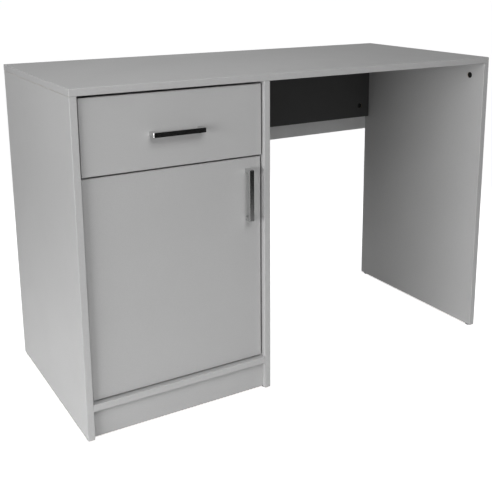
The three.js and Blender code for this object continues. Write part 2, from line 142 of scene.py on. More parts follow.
# Magnet catch, cam locks and glides
POLE_DEPTH = 9 * MM
POLE_THICK = 1.2 * MM
MOUTH_WALL = 2 * MM
MOUTH_HALF = 4.5 * MM
RIB_DEPTH = 0.6 * MM
CAM_ARM = 4.5 * MM
CAM_ARM_HALF_WIDTH = 0.75 * MM
CAM_SLOT_DEPTH = 3 * MM
PIN_SOFT = 0.5 * MM
PIN_GROOVE = 0.5 * MM
GLIDE_DIP = 1.2 * MM


# ---------------------------------------------------------------- meshes

def link(name, mesh):
    made = bpy.data.objects.new(name, mesh)
    bpy.context.scene.collection.objects.link(made)
    return made


def mesh_from(name, work):
    """A bmesh as a mesh whose faces point outwards."""
    bmesh.ops.remove_doubles(work, verts=work.verts, dist=1e-6)
    bmesh.ops.recalc_face_normals(work, faces=work.faces)
    mesh = bpy.data.meshes.new(name)
    work.to_mesh(mesh)
    work.free()
    return mesh


def evaluated(obj):
    """The object's mesh with its modifiers applied; the object itself is removed."""
    graph = bpy.context.evaluated_depsgraph_get()
    mesh = bpy.data.meshes.new_from_object(obj.evaluated_get(graph), depsgraph=graph)
    bpy.data.objects.remove(obj)
    return mesh


def cut(mesh, cutter):
    """The first mesh less the second."""
    work, tool = link("cut_work", mesh), link("cut_tool", cutter)
    modifier = work.modifiers.new("cut", "BOOLEAN")
    modifier.operation = "DIFFERENCE"
    modifier.solver = "EXACT"
    modifier.object = tool
    made = evaluated(work)
    bpy.data.objects.remove(tool)
    return made


def shade(mesh, sharp_degrees=34):
    """Smooth over the small roundings, with the big faces kept flat."""
    for face in mesh.polygons:
        face.use_smooth = True
    mesh.set_sharp_from_angle(angle=math.radians(sharp_degrees))
    work = link("shade_work", mesh)
    modifier = work.modifiers.new("flat faces", "WEIGHTED_NORMAL")
    modifier.keep_sharp = True
    return evaluated(work)


def finish(name, mesh, body, materials, replaces=(), choose=None, sharp_degrees=34):
    """Shades and paints a mesh, and makes it a piece on a body. choose(centre, normal) picks a material."""
    mesh = shade(mesh, sharp_degrees)
    mesh.name = name
    mesh.materials.clear()
    for material in materials:
        mesh.materials.append(material)
    for face in mesh.polygons:
        face.material_index = choose(face.center, face.normal) if choose else 0
    piece = link(name, mesh)
    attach(piece, body)
    if replaces:
        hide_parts(*replaces)
    return piece


def joined(name, meshes):
    """Several meshes as one, each keeping its own material."""
    work = bmesh.new()
    for mesh in meshes:
        work.from_mesh(mesh)
    made = bpy.data.meshes.new(name)
    work.to_mesh(made)
    work.free()
    return made


def turned_to(axis, u, v, t):
    """A point from the two directions of a face and the direction through it."""
    return {"x": (t, u, v), "y": (u, t, v), "z": (u, v, t)}[axis]


def round_rectangle(low, high, inset, radius, steps=CORNER_STEPS):
    """Points round a rectangle with round corners, moved in on every side by inset."""
    radius = max(radius - inset, 0.02 * MM)
    edge = inset + radius
    centres = ((high[0] - edge, high[1] - edge), (low[0] + edge, high[1] - edge),
               (low[0] + edge, low[1] + edge), (high[0] - edge, low[1] + edge))
    points = []
    for quarter, (u, v) in enumerate(centres):
        for step in range(steps + 1):
            angle = math.pi / 2 * (quarter + step / steps)
            points.append((u + radius * math.cos(angle), v + radius * math.sin(angle)))
    return points


def arris_profile(thickness, arris, glue_line):
    """(inset, height) steps from the middle of the lower face round the edge to the upper face."""
    lower = []
    if glue_line:
        lower += [(BAND + GLUE_LINE, 0), (BAND + GLUE_LINE / 2, GLUE_DEPTH), (BAND, 0)]
    for step in range(ARRIS_STEPS + 1):
        angle = math.pi / 2 * step / ARRIS_STEPS
        point = (arris * (1 - math.sin(angle)), arris * (1 - math.cos(angle)))
        if not (glue_line and step == 0 and abs(arris - BAND) < 0.01 * MM):
            lower.append(point)
    return lower + [(inset, thickness - height) for inset, height in reversed(lower)]


def slab(low, high, axis, arris=ARRIS, corner=CORNER, glue_line=True):
    """A board: rounded edges and corners, with the fine joint where the edge band meets the face."""
    through = AXES[axis]
    across = [k for k in range(3) if k != through]
    flat_low = [low[k] for k in across]
    flat_high = [high[k] for k in across]
    work = bmesh.new()
    rings = []
    for inset, height in arris_profile(high[through] - low[through], arris, glue_line):
        outline = round_rectangle(flat_low, flat_high, inset, max(corner, arris))
        rings.append([work.verts.new(turned_to(axis, u, v, low[through] + height)) for u, v in outline])
    for ring, following in zip(rings, rings[1:]):
        for k in range(len(ring)):
            n = (k + 1) % len(ring)
            work.faces.new((ring[k], ring[n], following[n], following[k]))
    work.faces.new(rings[0])
    work.faces.new(rings[-1])
    return mesh_from("slab", work)


def turned(axis, centre, profile, steps=28):
    """A turned piece. The profile is (place along the axis, radius), from axis to axis or a closed ring."""
    work = bmesh.new()
    closed = profile[0][1] > 0
    across = [k for k in range(3) if k != AXES[axis]]
    rings = []
    for along, radius in profile:
        ring = []
        for step in range(steps if radius > 0 else 1):
            angle = 2 * math.pi * step / steps
            u = centre[across[0]] + radius * math.cos(angle)
            v = centre[across[1]] + radius * math.sin(angle)
            ring.append(work.verts.new(turned_to(axis, u, v, along)))
        rings.append(ring)
    pairs = list(zip(rings, rings[1:]))
    if closed:
        pairs.append((rings[-1], rings[0]))
    for ring, following in pairs:
        for k in range(steps):
            corners = [ring[k % len(ring)], ring[(k + 1) % len(ring)],
                       following[(k + 1) % len(following)], following[k % len(following)]]
            unique = list(dict.fromkeys(corners))
            if len(unique) > 2:
                work.faces.new(unique)
    return mesh_from("turned", work)


def rod(axis, centre, radius, start, end, steps=28, chamfer=0.0):
    """A plain or chamfered rod along an axis."""
    start, end = min(start, end), max(start, end)
    if chamfer:
        profile = [(start, 0), (start, radius - chamfer), (start + chamfer, radius),
                   (end - chamfer, radius), (end, radius - chamfer), (end, 0)]
    else:
        profile = [(start, 0), (start, radius), (end, radius), (end, 0)]
    return turned(axis, centre, profile, steps)


def block(low, high):
    return slab(low, high, "z", arris=0.02 * MM, corner=0.02 * MM, glue_line=False)


def drawn_out(outline, axis, start, end, arris=0.0):
    """A closed outline drawn out along an axis, with its rims rounded by arris."""
    work = bmesh.new()
    ends = [[work.verts.new(turned_to(axis, u, v, at)) for u, v in outline] for at in (start, end)]
    count = len(outline)
    for k in range(count):
        n = (k + 1) % count
        work.faces.new((ends[0][k], ends[0][n], ends[1][n], ends[1][k]))
    work.faces.new(ends[0])
    work.faces.new(ends[1])
    if arris:
        k = AXES[axis]
        rims = [edge for edge in work.edges if abs(edge.verts[0].co[k] - edge.verts[1].co[k]) < 1e-7]
        bmesh.ops.bevel(work, geom=rims, offset=arris, segments=3, profile=0.5, affect="EDGES")
    return mesh_from("drawn", work)


def filleted(points, radii, steps=6):
    """A polygon with each corner rounded by its own radius."""
    made = []
    count = len(points)
    for k, (point, radius) in enumerate(zip(points, radii)):
        corner = Vector(point)
        if radius <= 0:
            made.append(tuple(corner))
            continue
        back = (Vector(points[k - 1]) - corner).normalized()
        ahead = (Vector(points[(k + 1) % count]) - corner).normalized()
        half = back.angle(ahead) / 2
        centre = corner + (back + ahead).normalized() * (radius / math.sin(half))
        first = corner + back * (radius / math.tan(half)) - centre
        last = corner + ahead * (radius / math.tan(half)) - centre
        sweep = math.atan2(first.x * last.y - first.y * last.x, first.dot(last))
        for step in range(steps + 1):
            angle = sweep * step / steps
            cosine, sine = math.cos(angle), math.sin(angle)
            made.append((centre.x + first.x * cosine - first.y * sine,
                         centre.y + first.x * sine + first.y * cosine))
    return made


# ---------------------------------------------------------------- materials

def start_material(name):
    material = bpy.data.materials.new(name)
    material.use_nodes = True
    return material, material.node_tree, material.node_tree.nodes["Principled BSDF"]


def add(tree, kind, inputs=None, **settings):
    """A node with its settings, and its inputs as values or as links."""
    node = tree.nodes.new(kind)
    for key, value in settings.items():
        setattr(node, key, value)
    for socket, value in (inputs or {}).items():
        if isinstance(value, bpy.types.NodeSocket):
            tree.links.new(value, node.inputs[socket])
        else:
            node.inputs[socket].default_value = value
    return node


def place(tree, stretch=(1, 1, 1)):
    """Object coordinates, stretched."""
    source = add(tree, "ShaderNodeTexCoord")
    return add(tree, "ShaderNodeMapping", {"Vector": source.outputs["Object"], "Scale": stretch}).outputs[0]


def noise(tree, vector, scale, detail=3.0, roughness=0.55):
    node = add(tree, "ShaderNodeTexNoise",
               {"Vector": vector, "Scale": scale, "Detail": detail, "Roughness": roughness})
    return node.outputs["Fac"]


def cells(tree, vector, scale, feature="F1"):
    node = add(tree, "ShaderNodeTexVoronoi", {"Vector": vector, "Scale": scale}, feature=feature)
    return node.outputs["Distance"]


def remap(tree, value, low, high, near=0.3, far=0.7):
    node = add(tree, "ShaderNodeMapRange",
               {"Value": value, "From Min": near, "From Max": far, "To Min": low, "To Max": high})
    return node.outputs["Result"]


def maths(tree, operation, first, second):
    node = add(tree, "ShaderNodeMath", operation=operation)
    for socket, value in zip(node.inputs, (first, second)):
        if isinstance(value, bpy.types.NodeSocket):
            tree.links.new(value, socket)
        else:
            socket.default_value = value
    return node.outputs[0]


def mixed(tree, factor, first, second, blend="MIX"):
    """Two colours mixed; each is a tuple or a socket."""
    node = add(tree, "ShaderNodeMix", data_type="RGBA", blend_type=blend)
    for socket, value in ((node.inputs[0], factor), (node.inputs[6], first), (node.inputs[7], second)):
        if isinstance(value, bpy.types.NodeSocket):
            tree.links.new(value, socket)
        elif isinstance(value, tuple):
            socket.default_value = (*value, 1)
        else:
            socket.default_value = value
    return node.outputs[2]


def relief(tree, shader, height, strength, distance):
    node = add(tree, "ShaderNodeBump", {"Height": height, "Strength": strength, "Distance": distance})
    tree.links.new(node.outputs["Normal"], shader.inputs["Normal"])


def grey(value, warm=0.0):
    return (value * (1 + warm), value, value * (1 - warm))


def melamine(name, tone, gloss=0.44, warm=0.0):
    """Melamine paper pressed on board: fine pearl dimples, a faint print and soft wipe marks."""
    material, tree, shader = start_material(name)
    vector = place(tree)
    print_grain = noise(tree, vector, 620, 5, 0.7)
    cloud = noise(tree, vector, 5.5, 3, 0.5)
    specks = remap(tree, cells(tree, vector, 480), 1.0, 0.0, 0.02, 0.16)
    tint = mixed(tree, remap(tree, print_grain, 0, 1), grey(tone * 0.935, warm), grey(tone * 1.06, warm))
    tint = mixed(tree, remap(tree, cloud, 0, 0.5), tint, grey(tone * 0.955, warm))
    tint = mixed(tree, maths(tree, "MULTIPLY", specks, 0.10), tint, grey(tone * 0.72, warm))
    tree.links.new(tint, shader.inputs["Base Color"])
    wipe = noise(tree, vector, 7, 4, 0.6)
    fine = noise(tree, vector, 900, 2)
    rough = maths(tree, "ADD", remap(tree, wipe, gloss - 0.03, gloss + 0.03), remap(tree, fine, -0.02, 0.02))
    tree.links.new(rough, shader.inputs["Roughness"])
    dimples = maths(tree, "ADD", cells(tree, vector, 760, "SMOOTH_F1"), noise(tree, vector, 1300, 2))
    relief(tree, shader, dimples, 0.07, 0.08 * MM)
    return material


def edge_banding(name, tone):
    """Thin plastic edging: a little smoother than the face, with fine drawn lines and trimming marks."""
    material, tree, shader = start_material(name)
    vector = place(tree)
    lines = noise(tree, vector, 900, 3)
    tint = mixed(tree, remap(tree, noise(tree, vector, 260, 4), 0, 1), grey(tone * 0.98), grey(tone * 1.02))
    tree.links.new(tint, shader.inputs["Base Color"])
    tree.links.new(remap(tree, lines, 0.30, 0.42), shader.inputs["Roughness"])
    relief(tree, shader, lines, 0.05, 0.05 * MM)
    return material


def chipboard(name):
    """The raw core that shows in bores and on unbanded edges."""
    material, tree, shader = start_material(name)
    vector = place(tree)
    flakes = cells(tree, vector, 420)
    tint = mixed(tree, remap(tree, flakes, 0, 1, 0.1, 0.9), (0.40, 0.28, 0.17), (0.66, 0.52, 0.36))
    tint = mixed(tree, remap(tree, noise(tree, vector, 260, 5), 0, 1, 0.45, 0.6), tint, (0.24, 0.16, 0.09))
    tree.links.new(tint, shader.inputs["Base Color"])
    tree.links.new(remap(tree, flakes, 0.85, 0.95, 0.1, 0.9), shader.inputs["Roughness"])
    relief(tree, shader, flakes, 0.6, 0.4 * MM)
    return material


def lacquered_hardboard(name, tone):
    """The painted face of the thin back sheets, with the roller's stipple."""
    material, tree, shader = start_material(name)
    vector = place(tree)
    stipple = noise(tree, vector, 420, 4, 0.6)
    tint = mixed(tree, remap(tree, noise(tree, vector, 9, 4), 0, 1), grey(tone * 0.94), grey(tone * 1.04))
    tint = mixed(tree, remap(tree, stipple, 0, 0.12), tint, grey(tone * 0.7))
    tree.links.new(tint, shader.inputs["Base Color"])
    tree.links.new(remap(tree, stipple, 0.42, 0.56), shader.inputs["Roughness"])
    relief(tree, shader, stipple, 0.22, 0.15 * MM)
    return material


def raw_hardboard(name):
    """The unpainted back of the sheets: pressed fibre with the print of the press screen."""
    material, tree, shader = start_material(name)
    vector = place(tree)
    fibre = noise(tree, place(tree, (1, 1, 0.35)), 380, 6, 0.7)
    blotch = noise(tree, vector, 16, 5, 0.6)
    tint = mixed(tree, remap(tree, fibre, 0, 1), (0.235, 0.165, 0.105), (0.34, 0.25, 0.165))
    tint = mixed(tree, remap(tree, blotch, 0, 0.45), tint, (0.20, 0.135, 0.085))
    tree.links.new(tint, shader.inputs["Base Color"])
    tree.links.new(remap(tree, fibre, 0.72, 0.86), shader.inputs["Roughness"])
    warp = add(tree, "ShaderNodeTexWave", {"Vector": vector, "Scale": 150, "Distortion": 1.2, "Detail": 2},
               bands_direction="X")
    weft = add(tree, "ShaderNodeTexWave", {"Vector": vector, "Scale": 150, "Distortion": 1.2, "Detail": 2},
               bands_direction="Z")
    screen = maths(tree, "MAXIMUM", warp.outputs["Fac"], weft.outputs["Fac"])
    relief(tree, shader, maths(tree, "ADD", maths(tree, "MULTIPLY", screen, 0.6), fibre), 0.35, 0.25 * MM)
    return material


def drawer_foil(name, tone):
    """Smooth foil wrapped round the drawer boards, with a faint drawn line along their length."""
    material, tree, shader = start_material(name)
    lines = noise(tree, place(tree, (1, 0.04, 1)), 520, 4, 0.6)
    cloud = noise(tree, place(tree), 11, 3)
    tint = mixed(tree, remap(tree, lines, 0, 1), grey(tone * 0.95), grey(tone * 1.04))
    tint = mixed(tree, remap(tree, cloud, 0, 0.35), tint, grey(tone * 0.93))
    tree.links.new(tint, shader.inputs["Base Color"])
    tree.links.new(remap(tree, lines, 0.34, 0.46), shader.inputs["Roughness"])
    relief(tree, shader, lines, 0.12, 0.1 * MM)
    return material


def brushed_metal(name, tone, rough, along="x", metallic=1.0, warm=0.0, brush=0.16):
    """Satin metal brushed along its length, with small scuffs."""
    material, tree, shader = start_material(name)
    shader.inputs["Metallic"].default_value = metallic
    stretch = [1.0, 1.0, 1.0]
    stretch[AXES[along]] = 0.03
    streaks = noise(tree, place(tree, tuple(stretch)), 2600, 4, 0.65)
    scuffs = noise(tree, place(tree), 210, 6, 0.7)
    tint = mixed(tree, remap(tree, streaks, 0, 1), grey(tone * 0.82, warm), grey(tone * 1.16, warm))
    tint = mixed(tree, remap(tree, scuffs, 0, 0.35, 0.55, 0.75), tint, grey(tone * 1.5, warm))
    tree.links.new(tint, shader.inputs["Base Color"])
    rough_here = maths(tree, "ADD", remap(tree, streaks, rough - 0.06, rough + 0.06),
                       remap(tree, scuffs, -0.03, 0.05))
    tree.links.new(rough_here, shader.inputs["Roughness"])
    relief(tree, shader, streaks, brush, 0.06 * MM)
    return material


def plated_zinc(name):
    """Bright zinc plating with the cloudy colours of its passivation."""
    material, tree, shader = start_material(name)
    shader.inputs["Metallic"].default_value = 1.0
    vector = place(tree)
    spangle = cells(tree, vector, 330)
    cloud = noise(tree, vector, 90, 4)
    tint = mixed(tree, remap(tree, cloud, 0, 1), (0.52, 0.54, 0.58), (0.68, 0.66, 0.60))
    tint = mixed(tree, remap(tree, spangle, 0, 0.3, 0.1, 0.6), tint, (0.44, 0.46, 0.50))
    tree.links.new(tint, shader.inputs["Base Color"])
    tree.links.new(remap(tree, spangle, 0.26, 0.42, 0.1, 0.6), shader.inputs["Roughness"])
    relief(tree, shader, noise(tree, vector, 700, 4), 0.12, 0.08 * MM)
    return material


def epoxy_steel(name):
    """White epoxy on sheet steel: the orange peel of a powder coat and thin dark rubbed lines."""
    material, tree, shader = start_material(name)
    vector = place(tree)
    peel = noise(tree, vector, 340, 3, 0.5)
    rubbed = noise(tree, place(tree, (1, 0.02, 1)), 420, 4, 0.7)
    tint = mixed(tree, remap(tree, noise(tree, vector, 22, 3), 0, 1), grey(0.60, 0.02), grey(0.68, 0.02))
    tint = mixed(tree, remap(tree, rubbed, 0, 0.55, 0.62, 0.74), tint, grey(0.28))
    tree.links.new(tint, shader.inputs["Base Color"])
    tree.links.new(remap(tree, peel, 0.28, 0.42), shader.inputs["Roughness"])
    relief(tree, shader, peel, 0.25, 0.2 * MM)
    return material


def moulded_plastic(name, tone, rough, warm=0.0):
    """Moulded plastic with a fine spark-eroded grain."""
    material, tree, shader = start_material(name)
    vector = place(tree)
    grain = noise(tree, vector, 1500, 3, 0.6)
    flow = noise(tree, vector, 120, 4, 0.5)
    tint = mixed(tree, remap(tree, flow, 0, 1), grey(tone * 0.88, warm), grey(tone * 1.1, warm))
    tree.links.new(tint, shader.inputs["Base Color"])
    tree.links.new(remap(tree, grain, rough - 0.07, rough + 0.07), shader.inputs["Roughness"])
    relief(tree, shader, grain, 0.3, 0.1 * MM)
    return material


def studio_floor(name):
    """A pale disc of floor under the desk that runs out into a plain white backdrop."""
    material, tree, shader = start_material(name)
    vector = place(tree)
    away = add(tree, "ShaderNodeVectorMath", {0: vector}, operation="LENGTH").outputs["Value"]
    beyond = remap(tree, away, 0.0, 1.0, FLOOR_NEAR, FLOOR_FAR)
    tint = mixed(tree, remap(tree, noise(tree, vector, 1.4, 3), 0, 1), grey(0.80), grey(0.86))
    tree.links.new(mixed(tree, beyond, tint, grey(0.02)), shader.inputs["Base Color"])
    shader.inputs["Roughness"].default_value = 0.8
    shader.inputs["Specular IOR Level"].default_value = 0.1
    shader.inputs["Emission Color"].default_value = (1, 1, 1, 1)
    glow = remap(tree, beyond, FLOOR_GLOW, 1.0, 0.0, 0.6)
    seen = add(tree, "ShaderNodeLightPath").outputs["Is Camera Ray"]
    tree.links.new(maths(tree, "MULTIPLY", glow, seen), shader.inputs["Emission Strength"])
    return material


# Tones are linear reflectances
AMBIENT = 0.12
BOARD_TONE = 0.50
# The knee rail's near-black tone is partly the board's own colour and partly painted shade from under the desk
# top
RAIL_TONE_WITH_PAINTED_SHADE = 0.08
FLOOR_NEAR = 0.75
FLOOR_FAR = 1.9
FLOOR_GLOW = 0.72

board_face = melamine("grey_melamine", BOARD_TONE)
board_band = edge_banding("grey_edge_band", BOARD_TONE * 1.02)
# Knee rail face and edge band: dark board colour with painted shade in it
rail_face_with_painted_shade = melamine("rail_melamine_with_painted_shade", RAIL_TONE_WITH_PAINTED_SHADE, gloss=0.5)
rail_band_with_painted_shade = edge_banding("rail_edge_band_with_painted_shade", RAIL_TONE_WITH_PAINTED_SHADE)
raw_core = chipboard("raw_chipboard")
sheet_face = lacquered_hardboard("lacquered_sheet", 0.78)
sheet_back = raw_hardboard("raw_sheet")
box_foil = drawer_foil("drawer_foil", 0.56)
handle_finish = {
    "x": brushed_metal("handle_nickel_level", 0.62, 0.17, "x", brush=0.04),
    "z": brushed_metal("handle_nickel_upright", 0.62, 0.17, "z", brush=0.04),
}
# Near-black metal for the cam locks and the catch's magnet; on the cam locks it is partly painted shade of a
# deep bore
dark_metal_with_painted_bore_shade = brushed_metal("black_metal_with_painted_bore_shade", 0.03, 0.5, "x", metallic=0.6, brush=0.1)
zinc = plated_zinc("plated_zinc")
runner_coat = epoxy_steel("epoxy_steel")
nylon = moulded_plastic("white_nylon", 0.66, 0.42, 0.02)
black_plastic = moulded_plastic("black_plastic", 0.022, 0.5)


# ---------------------------------------------------------------- repeated small parts (geometry nodes)

class Tree:
    """A geometry node tree with named inputs, which ends in Realize Instances and Set Material."""

    def __init__(self, name, inputs):
        self.tree = bpy.data.node_groups.new(name, "GeometryNodeTree")
        face = self.tree.interface
        face.new_socket("Geometry", in_out="OUTPUT", socket_type="NodeSocketGeometry")
        self.names = {}
        for label, kind in inputs:
            self.names[label] = face.new_socket(label, in_out="INPUT", socket_type=kind).identifier
        self.start = self.tree.nodes.new("NodeGroupInput")

    def __getitem__(self, label):
        return self.start.outputs[label]

    def add(self, kind, inputs=None, **settings):
        return add(self.tree, kind, inputs, **settings)

    def end(self, geometry):
        real = self.add("GeometryNodeRealizeInstances", {"Geometry": geometry})
        painted = self.add("GeometryNodeSetMaterial",
                           {"Geometry": real.outputs[0], "Material": self["Material"]})
        out = self.tree.nodes.new("NodeGroupOutput")
        self.tree.links.new(painted.outputs[0], out.inputs[0])

    def mesh(self, **values):
        """The tree's result as a plain mesh."""
        holder = link(self.tree.name + "_work", bpy.data.meshes.new(self.tree.name))
        modifier = holder.modifiers.new(self.tree.name, "NODES")
        modifier.node_group = self.tree
        for label, value in values.items():
            modifier[self.names[label.replace("_", " ")]] = value
        return evaluated(holder)


ROW = [("Count", "NodeSocketInt"), ("Start", "NodeSocketVector"), ("End", "NodeSocketVector"),
       ("Turn", "NodeSocketVector"), ("Seed", "NodeSocketInt"), ("Material", "NodeSocketMaterial")]


def row_points(tree):
    line = tree.add("GeometryNodeMeshLine", {"Count": tree["Count"], "Start Location": tree["Start"],
                                             "Offset": tree["End"]}, mode="END_POINTS")
    return line.outputs[0]


def random_vector(tree, low, high):
    node = tree.add("FunctionNodeRandomValue", data_type="FLOAT_VECTOR")
    for socket, value in zip(node.inputs[:2], (low, high)):
        if isinstance(value, bpy.types.NodeSocket):
            tree.tree.links.new(value, socket)
        else:
            socket.default_value = value
    tree.tree.links.new(tree["Seed"], node.inputs["Seed"])
    return node.outputs[0]


def nail_tree():
    """A row of flat nail heads, each driven in a little off the line and a little different in size."""
    tree = Tree("nail_row", ROW + [("Head Radius", "NodeSocketFloat"), ("Head Height", "NodeSocketFloat"),
                                   ("Wander", "NodeSocketVector")])
    low = tree.add("ShaderNodeVectorMath", {0: tree["Wander"], "Scale": -1.0}, operation="SCALE")
    moved = tree.add("GeometryNodeSetPosition", {
        "Geometry": row_points(tree), "Offset": random_vector(tree, low.outputs[0], tree["Wander"])})
    rim = tree.add("ShaderNodeMath", {0: tree["Head Radius"], 1: 0.82}, operation="MULTIPLY")
    head = tree.add("GeometryNodeMeshCone", {
        "Vertices": 16, "Radius Top": rim.outputs[0], "Radius Bottom": tree["Head Radius"],
        "Depth": tree["Head Height"]})
    heads = tree.add("GeometryNodeInstanceOnPoints", {
        "Points": moved.outputs[0], "Instance": head.outputs[0], "Rotation": tree["Turn"],
        "Scale": random_vector(tree, (0.93, 0.93, 1.0), (1.06, 1.06, 1.0))})
    tree.end(heads.outputs[0])
    return tree


def screw_tree():
    """A row of pan-head screws with a cross recess, each stopped at its own turn."""
    tree = Tree("screw_row", ROW + [("Head Radius", "NodeSocketFloat"), ("Head Height", "NodeSocketFloat"),
                                    ("Shaft Radius", "NodeSocketFloat"), ("Shaft Length", "NodeSocketFloat")])
    ball = tree.add("GeometryNodeMeshUVSphere", {"Segments": 24, "Rings": 12, "Radius": 1.0})
    size = tree.add("ShaderNodeCombineXYZ", {"X": tree["Head Radius"], "Y": tree["Head Radius"],
                                             "Z": tree["Head Height"]})
    dome = tree.add("GeometryNodeTransform", {"Geometry": ball.outputs[0], "Scale": size.outputs[0]})
    wide = tree.add("ShaderNodeMath", {0: tree["Head Radius"], 1: 4.0}, operation="MULTIPLY")
    under = tree.add("GeometryNodeMeshCube", {"Size": wide.outputs[0]})
    half = tree.add("ShaderNodeMath", {0: wide.outputs[0], 1: -0.5}, operation="MULTIPLY")
    lowered = tree.add("ShaderNodeCombineXYZ", {"Z": half.outputs[0]})
    base = tree.add("GeometryNodeTransform",
                    {"Geometry": under.outputs[0], "Translation": lowered.outputs[0]})
    arms = []
    for long_side, short_side in (("X", "Y"), ("Y", "X")):
        reach = tree.add("ShaderNodeMath", {0: tree["Head Radius"], 1: 1.15}, operation="MULTIPLY")
        narrow = tree.add("ShaderNodeMath", {0: tree["Head Radius"], 1: 0.26}, operation="MULTIPLY")
        box = tree.add("ShaderNodeCombineXYZ", {long_side: reach.outputs[0], short_side: narrow.outputs[0],
                                                "Z": tree["Head Height"]})
        arm = tree.add("GeometryNodeMeshCube", {"Size": box.outputs[0]})
        lift = tree.add("ShaderNodeCombineXYZ", {"Z": tree["Head Height"]})
        arms.append(tree.add("GeometryNodeTransform", {"Geometry": arm.outputs[0],
                                                       "Translation": lift.outputs[0]}).outputs[0])
    head = tree.add("GeometryNodeMeshBoolean", {"Mesh 1": dome.outputs[0]}, operation="DIFFERENCE")
    for tool in (base.outputs[0], *arms):
        tree.tree.links.new(tool, head.inputs["Mesh 2"])
    shaft = tree.add("GeometryNodeMeshCylinder", {"Vertices": 16, "Radius": tree["Shaft Radius"],
                                                  "Depth": tree["Shaft Length"]})
    sink = tree.add("ShaderNodeMath", {0: tree["Shaft Length"], 1: -0.5}, operation="MULTIPLY")
    below = tree.add("ShaderNodeCombineXYZ", {"Z": sink.outputs[0]})
    sunk = tree.add("GeometryNodeTransform", {"Geometry": shaft.outputs[0], "Translation": below.outputs[0]})
    screw = tree.add("GeometryNodeJoinGeometry")
    for part in (head.outputs[0], sunk.outputs[0]):
        tree.tree.links.new(part, screw.inputs[0])
    placed = tree.add("GeometryNodeInstanceOnPoints", {
        "Points": row_points(tree), "Instance": screw.outputs[0], "Rotation": tree["Turn"]})
    spun = tree.add("GeometryNodeRotateInstances", {
        "Instances": placed.outputs[0], "Rotation": random_vector(tree, (0, 0, 0), (0, 0, math.pi))})
    tree.end(spun.outputs[0])
    return tree


def bore_tree():
    """A row of plain rods, used to cut a row of holes."""
    tree = Tree("bore_row", ROW + [("Radius", "NodeSocketFloat"), ("Depth", "NodeSocketFloat")])
    rod_shape = tree.add("GeometryNodeMeshCylinder", {"Vertices": 20, "Radius": tree["Radius"],
                                                      "Depth": tree["Depth"]})
    rods = tree.add("GeometryNodeInstanceOnPoints", {
        "Points": row_points(tree), "Instance": rod_shape.outputs[0], "Rotation": tree["Turn"]})
    tree.end(rods.outputs[0])
    return tree


nails = nail_tree()
screws = screw_tree()
bores = bore_tree()
FACING = {
    "+x": (0, math.pi / 2, 0), "-x": (0, -math.pi / 2, 0), "+y": (-math.pi / 2, 0, 0),
    "-y": (math.pi / 2, 0, 0), "+z": (0, 0, 0), "-z": (math.pi, 0, 0),
}


def nail_row(start, end, facing, wander):
    length = (Vector(end) - Vector(start)).length
    return nails.mesh(Count=max(2, round(length / NAIL_PITCH) + 1), Start=start, End=end, Turn=FACING[facing],
                      Seed=SEED, Material=zinc, Head_Radius=NAIL_HEAD, Head_Height=NAIL_HEIGHT, Wander=wander)


def screw_row(start, end, count, facing, head=SCREW_HEAD, height=SCREW_HEIGHT, shaft=SCREW_SHAFT,
              length=SCREW_LENGTH):
    return screws.mesh(Count=count, Start=start, End=end, Turn=FACING[facing], Seed=SEED, Material=zinc,
                       Head_Radius=head, Head_Height=height, Shaft_Radius=shaft, Shaft_Length=length)


def hardware(name, body, meshes):
    """Repeated small zinc-plated parts as one piece on a body."""
    mesh = joined(name, meshes)
    mesh.materials.clear()
    mesh.materials.append(zinc)
    for face in mesh.polygons:
        face.material_index = 0
        face.use_smooth = True
    mesh.set_sharp_from_angle(angle=math.radians(35))
    piece = link(name, mesh)
    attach(piece, body)
    return piece


# ---------------------------------------------------------------- boards

def board_paint(low, high, axis, raw_edges=()):
    """Picks face, edge band or raw core from where a face lies. raw_edges are unbanded ones, such as '-z'."""
    through = AXES[axis]
    across = [k for k in range(3) if k != through]

    def choose(centre, normal):
        for k in across:
            for side, gap in (("-", centre[k] - low[k]), ("+", high[k] - centre[k])):
                if gap < BAND * 0.99:
                    return 2 if side + "xyz"[k] in raw_edges and gap < 0.1 * MM else 1
        deep = min(centre[through] - low[through], high[through] - centre[through])
        return 0 if deep < SKIN and abs(normal[through]) > 0.4 else 2

    return choose


def board(name, node, body, axis, cutters=(), materials=None, slot="white_board", raw_edges=(), **shape):
    low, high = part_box(node)
    mesh = slab(low, high, axis, **shape)
    if cutters:
        mesh = cut(mesh, joined("cutters", cutters))
    materials = materials or (board_face, board_band, raw_core)
    return finish(name, mesh, body, materials, (node,), board_paint(low, high, axis, raw_edges))


left_low, left_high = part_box("left_side_panel")
divider_low, divider_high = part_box("divider_panel")


def sunk_bore(node, axis, face, into):
    """The bore of a sunk fitting: from the board's face to just past the fitting's inner end."""
    low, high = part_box(node)
    k = AXES[axis]
    across = [j for j in range(3) if j != k]
    radius = max(high[j] - low[j] for j in across) / 2 + BORE_SLACK
    inner = (low[k] if into < 0 else high[k]) + into * 0.4 * MM
    return rod(axis, (low + high) / 2, radius, inner, face - into * OVERSHOOT)


def pin_holes(face):
    """Two rows of shelf-pin holes in a board's face, above and below the shelf."""
    meshes = []
    for end in ("front", "rear"):
        pin_low, pin_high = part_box(f"shelf_pin_{end}_left")
        y = (pin_low.y + pin_high.y) / 2
        z = (pin_low.z + pin_high.z) / 2
        start = (face, y, z - 3 * HOLE_PITCH)
        stop = (face, y, z + 3 * HOLE_PITCH)
        meshes.append(bores.mesh(Count=7, Start=start, End=stop, Turn=FACING["+x"], Seed=SEED,
                                 Material=raw_core, Radius=HOLE_RADIUS + BORE_SLACK,
                                 Depth=2 * HOLE_DEPTH + MM))
    return meshes


